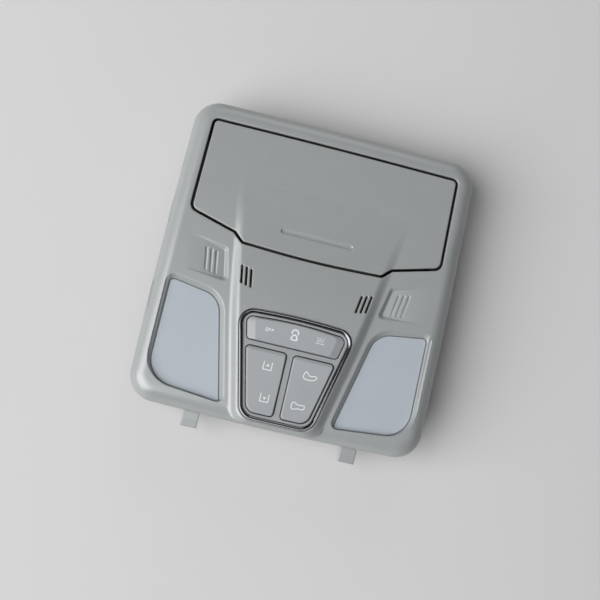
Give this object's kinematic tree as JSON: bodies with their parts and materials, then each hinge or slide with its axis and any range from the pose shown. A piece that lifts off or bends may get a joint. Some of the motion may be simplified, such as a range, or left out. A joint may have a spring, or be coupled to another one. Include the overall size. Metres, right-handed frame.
{
  "type": "car dome light overhead console",
  "caption": "Grey overhead console for a car roof with press-to-light map lamps, a dome light rocker, roof-panel rockers and a damped drop-down sunglasses bin.",
  "frame": {"origin": "middle of the rim's rear face, which lies on the headliner", "axes": "+X to the right as seen from the cabin with the bin's hinge at the top, +Y towards that hinge, +Z out of the headliner into the cabin"},
  "size_m": [0.1992, 0.2185, 0.0473],
  "materials": {
    "trim_grey": "fine moulded grain",
    "lens_milk": "milky, satin",
    "ring_chrome": "bright plated",
    "fascia_silver": "satin silver paint",
    "key_grey": "fine moulded grain",
    "carrier_black": "moulded, matt",
    "bin_black": "moulded, matt",
    "liner_felt": "flocked",
    "steel": "zinc plated",
    "damper_black": "moulded",
    "nylon_white": "natural nylon",
    "rubber_black": "soft",
    "board_green": "solder mask",
    "lamp_white": "lamp body",
    "switch_black": "moulded",
    "header_ivory": "moulded",
    "contact_brass": "tinned",
    "reflector_white": "bright white",
    "capsule_metal": "satin",
    "cloth_black": "fine acoustic cloth"
  },
  "bodies": {
    "root": {"bezel": "trim_grey", "rear_carrier": "carrier_black", "bay_cover": "carrier_black", "circuit_board": "board_green", "map_leds": "lamp_white", "tact_switches": "switch_black", "control_chip": "switch_black", "connector_header": "header_ivory", "connector_pins": "contact_brass", "lamp_reflector_left": "reflector_white", "lamp_reflector_right": "reflector_white", "switch_housing": "carrier_black", "switch_fascia": "fascia_silver", "chrome_ring": "ring_chrome", "microphone_left": "capsule_metal", "microphone_right": "capsule_metal", "microphone_boot_left": "rubber_black", "microphone_boot_right": "rubber_black", "microphone_cloths": "cloth_black", "spring_clip_left": "steel", "spring_clip_right": "steel", "hinge_pin_left": "steel", "hinge_pin_right": "steel", "damper_body": "damper_black", "damper_screws": "steel", "latch_body": "switch_black", "latch_screws": "steel", "door_bumpers": "rubber_black", "carrier_screws": "steel", "cover_screws": "steel"},
    "door": {"door_panel": "trim_grey", "glasses_tub": "bin_black", "tub_liner": "liner_felt", "door_screws": "steel"},
    "damper_pinion": {"damper_pinion": "nylon_white"},
    "latch_plunger": {"latch_plunger": "nylon_white"},
    "dome_key": {"dome_key": "key_grey"},
    "roof_slide_key": {"roof_slide_key": "key_grey"},
    "roof_tilt_key": {"roof_tilt_key": "key_grey"},
    "lens_left": {"lens_left": "lens_milk"},
    "lens_right": {"lens_right": "lens_milk"}
  },
  "joints": [
    {"name": "door_hinge", "type": "hinge", "parent": "root", "child": "door", "pos_m": [0, 0.0727, 0.0095], "axis": [-1, 0, 0], "range_deg": [0, 70]},
    {"name": "pinion_spin", "type": "hinge", "parent": "root", "child": "damper_pinion", "pos_m": [0.076, 0.05912, -0.00408], "axis": [-1, 0, 0], "range_deg": [-211, 0]},
    {"name": "latch_slide", "type": "slide", "parent": "root", "child": "latch_plunger", "axis": [0, 0, 1], "range_m": [-0.0025, 0], "stiffness_N_per_m": 400, "springref_m": 0.003},
    {"name": "dome_key_rock", "type": "hinge", "parent": "root", "child": "dome_key", "pos_m": [0, -0.0414, 0.0138], "axis": [0, 1, 0], "range_deg": [-4, 4]},
    {"name": "roof_slide_key_rock", "type": "hinge", "parent": "root", "child": "roof_slide_key", "pos_m": [-0.0135, -0.07485, 0.0138], "axis": [1, 0, 0], "range_deg": [-3.5, 3.5], "stiffness_Nm_per_rad": 0.5},
    {"name": "roof_tilt_key_rock", "type": "hinge", "parent": "root", "child": "roof_tilt_key", "pos_m": [0.0135, -0.07485, 0.0138], "axis": [1, 0, 0], "range_deg": [-3.5, 3.5], "stiffness_Nm_per_rad": 0.5},
    {"name": "lens_left_press", "type": "hinge", "parent": "root", "child": "lens_left", "pos_m": [-0.063, -0.08, 0.00925], "axis": [-1, 0, 0], "range_deg": [0, 1.3], "stiffness_Nm_per_rad": 3, "springref_deg": -1.15},
    {"name": "lens_right_press", "type": "hinge", "parent": "root", "child": "lens_right", "pos_m": [0.063, -0.08, 0.00925], "axis": [-1, 0, 0], "range_deg": [0, 1.3], "stiffness_Nm_per_rad": 3, "springref_deg": -1.15}
  ],
  "couplings": [
    {"joint": "pinion_spin", "follows": "door_hinge", "ratio": -3}
  ]
}
